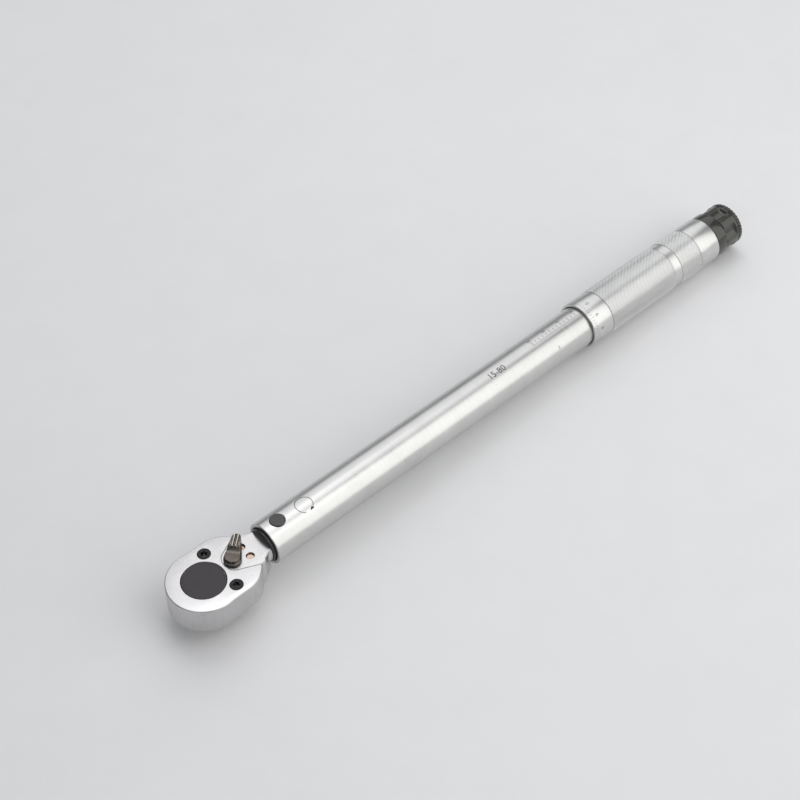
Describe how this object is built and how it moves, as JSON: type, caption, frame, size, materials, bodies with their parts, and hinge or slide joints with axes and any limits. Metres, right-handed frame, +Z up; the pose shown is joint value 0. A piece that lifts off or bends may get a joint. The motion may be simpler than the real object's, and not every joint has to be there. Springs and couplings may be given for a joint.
{
  "type": "torque wrench",
  "caption": "Click-type torque wrench with a reversible round ratchet head, a straight tube, a knurled turning handle with a graduated band, and a lobed lock knob.",
  "frame": {"origin": "centre of the square drive's end face", "axes": "+X along the wrench from the head to the lock knob, +Z up out of the head's lever face, against the square drive"},
  "size_m": [0.37, 0.035, 0.0337],
  "materials": {
    "satin_chrome": "satin chrome plate with a fine brushed grain",
    "dark_steel": "dark phosphated steel, lightly oiled",
    "black_oxide": "black oxide screws",
    "bronze_lever": "glossy dark bronze-black plating",
    "copper_pin": "copper-washed pin ends",
    "bright_steel": "ground and turned steel",
    "spring_steel": "oil-tempered spring steel",
    "black_rubber": "smooth black rubber",
    "dark_knob": "dark olive-grey moulded plastic with a soft gloss"
  },
  "bodies": {
    "barrel": {"tube": "satin_chrome", "pivot_pin": "dark_steel", "thread_bush": "bright_steel", "bush_pin_top": "spring_steel", "bush_pin_bottom": "spring_steel", "main_spring": "spring_steel"},
    "head": {"head_body": "satin_chrome", "cover_plate": "satin_chrome", "cover_screw_left": "black_oxide", "cover_screw_right": "black_oxide", "stop_pin_left": "copper_pin", "stop_pin_right": "copper_pin", "gear_washer": "spring_steel", "dust_ring": "black_rubber"},
    "drive": {"drive_gear": "dark_steel", "drive_ball_spring": "spring_steel"},
    "detent_ball": {"drive_ball": "bright_steel"},
    "lever": {"reversing_lever": "bronze_lever", "lever_clip": "spring_steel", "selector_ball": "bright_steel", "selector_spring": "spring_steel"},
    "rocker": {"pawl": "dark_steel"},
    "plunger": {"plunger": "bright_steel"},
    "click_block": {"tilt_block": "dark_steel"},
    "spring_carrier": {"spring_seat": "bright_steel", "thrust_washer": "dark_steel", "thrust_ball": "bright_steel"},
    "handle": {"handle_sleeve": "satin_chrome", "handle_plug": "bright_steel", "plug_pin": "spring_steel", "adjusting_screw": "bright_steel", "lock_collar": "dark_knob", "knob_clip": "spring_steel"},
    "knob": {"lock_knob": "dark_knob"},
    "lock_rod": {"lock_rod": "dark_steel"}
  },
  "joints": [
    {"name": "head_tilt", "type": "hinge", "parent": "barrel", "child": "head", "pos_m": [0.043, 0, 0.0213], "axis": [0, 0, 1], "range_deg": [-3, 3], "stiffness_Nm_per_rad": 20},
    {"name": "plunger_slide", "type": "slide", "parent": "barrel", "child": "plunger", "axis": [1, 0, 0], "range_m": [0, 0.0005], "stiffness_N_per_m": 4000},
    {"name": "block_tip", "type": "hinge", "parent": "plunger", "child": "click_block", "pos_m": [0.0674, 0, 0.0213], "axis": [0, 0, 1], "range_deg": [-7.5, 7.5]},
    {"name": "drive_turn", "type": "hinge", "parent": "head", "child": "drive", "pos_m": [0, 0, 0], "axis": [0, 0, 1], "continuous": true},
    {"name": "detent_press", "type": "slide", "parent": "drive", "child": "detent_ball", "axis": [0, 1, 0], "range_m": [0, 0.0006], "stiffness_N_per_m": 800, "deforming": ["drive_ball_spring"]},
    {"name": "lever_throw", "type": "hinge", "parent": "head", "child": "lever", "pos_m": [0.0165, 0, 0.0213], "axis": [0, 0, 1], "range_deg": [-80, 0]},
    {"name": "pawl_rock", "type": "hinge", "parent": "head", "child": "rocker", "pos_m": [0.0165, 0, 0.0213], "axis": [0, 0, 1], "range_deg": [-11.05, 0.05]},
    {"name": "handle_advance", "type": "slide", "parent": "barrel", "child": "spring_carrier", "axis": [-1, 0, 0], "range_m": [-0.0001, 0.0326], "deforming": ["main_spring"]},
    {"name": "handle_turn", "type": "hinge", "parent": "spring_carrier", "child": "handle", "pos_m": [0.286, 0, 0.0213], "axis": [-1, 0, 0], "range_deg": [0, 4680]},
    {"name": "knob_turn", "type": "hinge", "parent": "handle", "child": "knob", "pos_m": [0.346, 0, 0.0213], "axis": [-1, 0, 0], "range_deg": [-360, 0]},
    {"name": "lock_rod_slide", "type": "slide", "parent": "handle", "child": "lock_rod", "axis": [-1, 0, 0], "range_m": [-0.00126, 0.00001]}
  ],
  "couplings": [
    {"joint": "block_tip", "follows": "head_tilt", "ratio": -2.4286},
    {"joint": "pawl_rock", "follows": "lever_throw", "ratio": 0.1375},
    {"joint": "handle_advance", "follows": "handle_turn", "m_per_rad": 0.00039789},
    {"joint": "lock_rod_slide", "follows": "knob_turn", "m_per_rad": 0.00019894}
  ]
}
